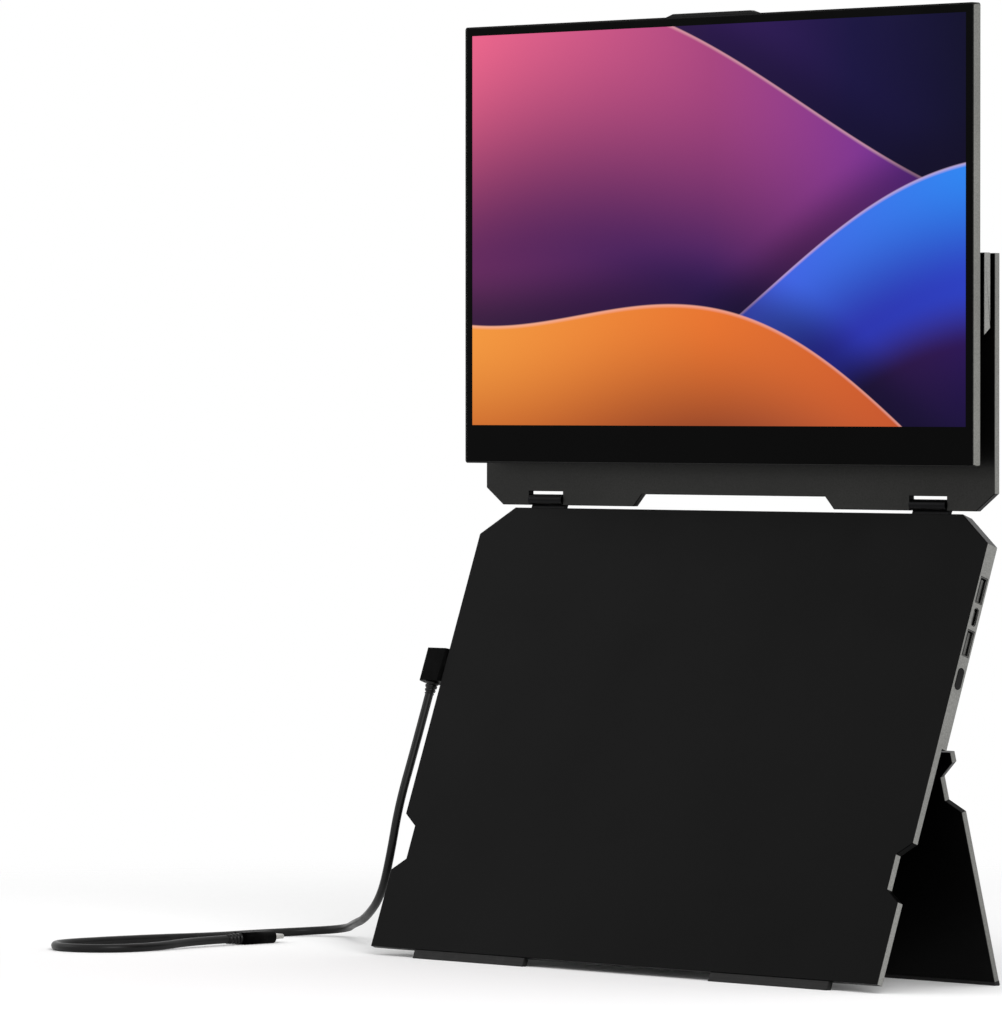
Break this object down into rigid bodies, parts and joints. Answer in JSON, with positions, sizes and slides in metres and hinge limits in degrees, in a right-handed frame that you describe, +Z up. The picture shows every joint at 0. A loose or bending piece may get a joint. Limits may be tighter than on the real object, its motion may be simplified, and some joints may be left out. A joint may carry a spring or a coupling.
{
  "type": "laptop screen extender",
  "caption": "Thin second display on a folding plate stand that stands behind a laptop and holds the display above its lid, with a kickstand, side ports and a cord.",
  "frame": {"origin": "on the table, under the middle of the object's width and depth without its cord", "axes": "+Z up, +X to the side with the ports and the power button, +Y away from the user, so the display faces -Y"},
  "size_m": [0.5011, 0.1835, 0.4613],
  "materials": {
    "anodised_black": "satin anodised, machined edges lighter",
    "anodised_grey": "satin",
    "black_steel": "blackened",
    "bright_steel": "plated",
    "circuit_board": "solder mask",
    "chip": "moulded",
    "button_plastic": "matt",
    "screen_glass": "glossy glass with a black border",
    "lcd": "polariser film",
    "light_guide": "white diffuser",
    "rubber": "matt",
    "cord_jacket": "satin jacket",
    "plug_plastic": "moulded"
  },
  "bodies": {
    "base": {"base_housing": "anodised_black", "base_rear_cover": "anodised_black", "base_cover_screw": "black_steel", "base_foot": "rubber", "hub_board": "circuit_board", "hub_chip": "chip", "inlet_board": "circuit_board", "board_ribbon": "chip", "board_screw": "bright_steel", "usb_a_port_upper": "bright_steel", "usb_a_port_lower": "bright_steel", "usb_c_port_right": "bright_steel", "usb_c_port_left": "bright_steel", "power_switch": "chip", "lower_hinge_leaf": "black_steel", "kickstand_pin": "bright_steel", "angled_plug_body": "plug_plastic", "angled_plug_nose": "bright_steel", "angled_plug_relief": "cord_jacket", "display_cord": "cord_jacket", "free_plug_relief": "cord_jacket", "free_plug_body": "plug_plastic", "free_plug_nose": "bright_steel"},
    "power_button": {"power_button": "button_plastic"},
    "arm": {"arm_plate": "anodised_black", "lower_hinge_pin": "bright_steel", "upper_hinge_arm_leaf": "black_steel"},
    "screen": {"upper_hinge_carrier_leaf": "black_steel", "upper_hinge_pin": "bright_steel", "carrier_plate": "anodised_black", "carrier_spacer": "rubber", "carrier_screw": "black_steel", "screen_rear_cover": "anodised_black", "display_board": "circuit_board", "backlight": "light_guide", "lcd_panel": "lcd", "cover_glass": "screen_glass", "finger_lip": "anodised_grey"},
    "kickstand": {"kickstand_plate": "anodised_black", "kickstand_foot_pad": "rubber"}
  },
  "joints": [
    {"name": "arm_fold", "type": "hinge", "parent": "base", "child": "arm", "pos_m": [0, 0.03747, 0.22469], "axis": [1, 0, 0], "range_deg": [-19.7, 115]},
    {"name": "screen_flip", "type": "hinge", "parent": "arm", "child": "screen", "pos_m": [0, 0.03437, 0.34579], "axis": [-1, 0, 0], "range_deg": [0, 180]},
    {"name": "kickstand_fold", "type": "hinge", "parent": "base", "child": "kickstand", "pos_m": [0, 0.00546, 0.11941], "axis": [1, 0, 0], "range_deg": [-35, 35]},
    {"name": "power_press", "type": "slide", "parent": "base", "child": "power_button", "axis": [-1, 0, 0], "range_m": [0, 0.0005], "stiffness_N_per_m": 2500, "springref_m": -0.0003}
  ]
}
